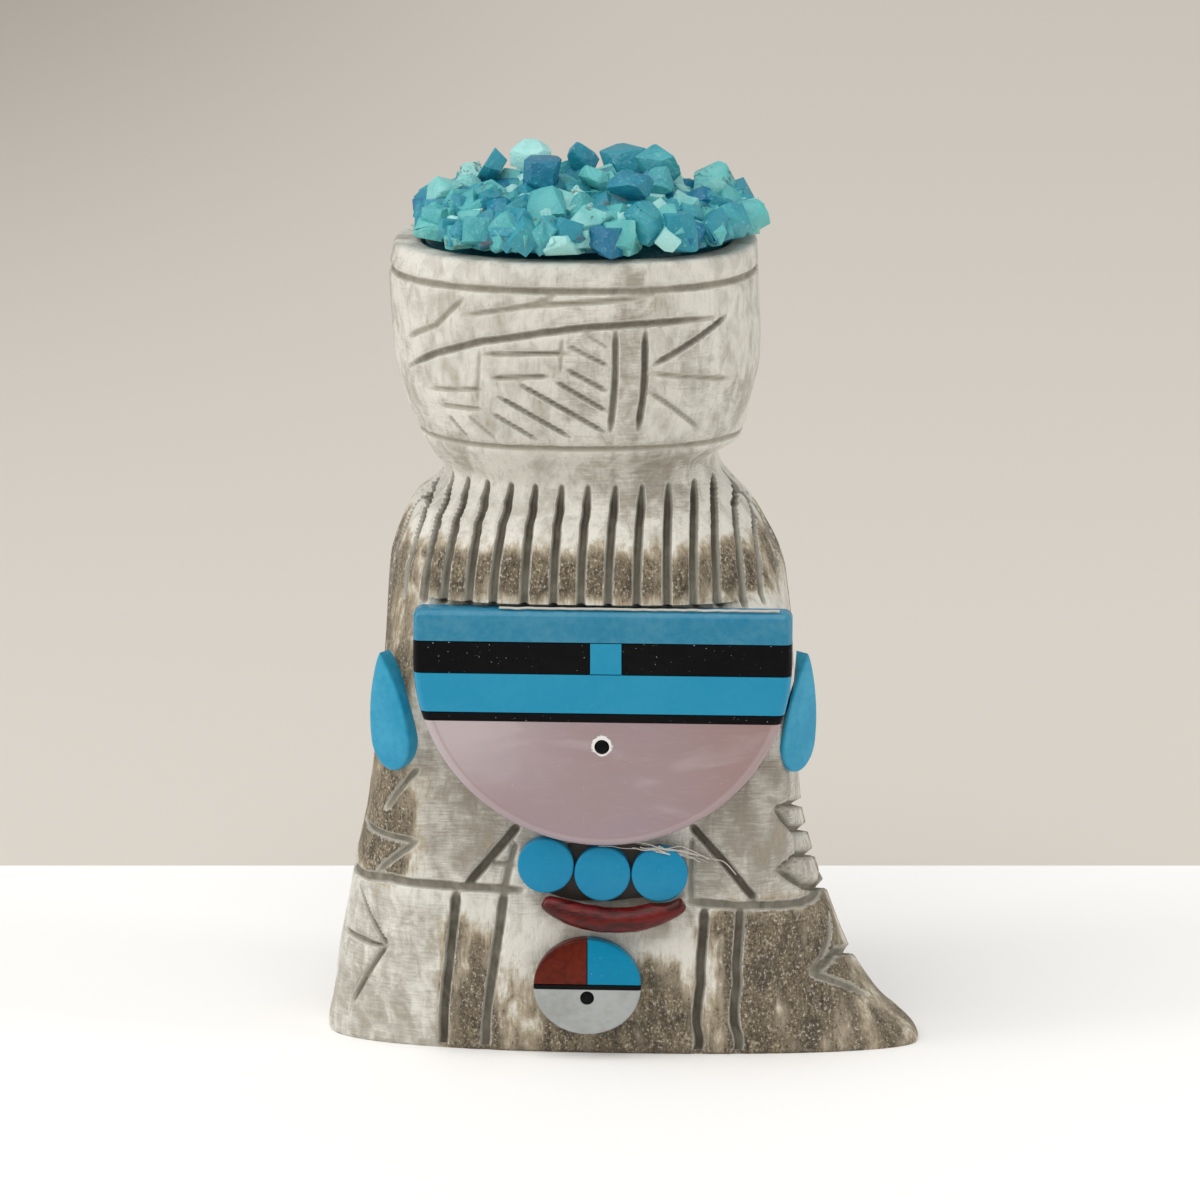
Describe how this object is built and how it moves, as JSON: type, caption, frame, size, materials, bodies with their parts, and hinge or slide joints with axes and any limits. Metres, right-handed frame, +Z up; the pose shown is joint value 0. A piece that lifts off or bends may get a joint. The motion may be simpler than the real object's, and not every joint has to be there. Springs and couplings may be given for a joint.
{
  "type": "corn maiden fetish carving",
  "caption": "Standing antler figure of a robed woman with fluted hair, an inlaid stone face, ears and pendant, and a pot on her head heaped with turquoise chips.",
  "frame": {"origin": "on the flat underside, below the middle of the body", "axes": "+Z up from the underside to the heap of chips, -Y is the way the face looks, +X is the side of the long skirt point"},
  "size_m": [0.0641, 0.0336, 0.0969],
  "materials": {
    "antler": "carved and sanded antler, whitish where worked, brown pitted bark where left",
    "turquoise": "polished blue turquoise",
    "chip_turquoise": "broken turquoise chips, tumbled",
    "jet": "polished jet",
    "pink_shell": "polished pink shell",
    "white_shell": "polished white shell",
    "red_coral": "glossy dark red coral"
  },
  "bodies": {
    "root": {"antler_carving": "antler", "coral_branch": "red_coral", "ear_left": "turquoise", "ear_right": "turquoise", "face_cheek_band": "turquoise", "face_chin_shell": "pink_shell", "face_divider_strip": "jet", "face_forehead_band": "turquoise", "face_left_eye": "jet", "face_mouth_dot": "jet", "face_nose_square": "turquoise", "face_right_eye": "jet", "necklace_disc_left": "turquoise", "necklace_disc_middle": "turquoise", "necklace_disc_right": "turquoise", "pendant_coral_quarter": "red_coral", "pendant_jet_bar": "jet", "pendant_jet_dot": "jet", "pendant_shell_half": "white_shell", "pendant_turquoise_quarter": "turquoise", "turquoise_chip_01": "chip_turquoise", "turquoise_chip_02": "chip_turquoise", "turquoise_chip_03": "chip_turquoise", "turquoise_chip_04": "chip_turquoise", "turquoise_chip_05": "chip_turquoise", "turquoise_chip_06": "chip_turquoise", "turquoise_chip_07": "chip_turquoise", "turquoise_chip_08": "chip_turquoise", "turquoise_chip_09": "chip_turquoise", "turquoise_chip_10": "chip_turquoise", "turquoise_chip_11": "chip_turquoise", "turquoise_chip_12": "chip_turquoise", "turquoise_chip_13": "chip_turquoise", "turquoise_chip_14": "chip_turquoise", "turquoise_chip_15": "chip_turquoise", "turquoise_chip_16": "chip_turquoise", "turquoise_chip_17": "chip_turquoise", "turquoise_chip_18": "chip_turquoise", "turquoise_chip_19": "chip_turquoise", "turquoise_chip_20": "chip_turquoise", "turquoise_chip_21": "chip_turquoise", "turquoise_chip_22": "chip_turquoise", "turquoise_chip_23": "chip_turquoise", "turquoise_chip_24": "chip_turquoise", "turquoise_chip_25": "chip_turquoise", "turquoise_chip_26": "chip_turquoise", "turquoise_chip_27": "chip_turquoise", "turquoise_chip_28": "chip_turquoise", "turquoise_chip_29": "chip_turquoise", "turquoise_chip_bed": "chip_turquoise"}
  },
  "joints": []
}
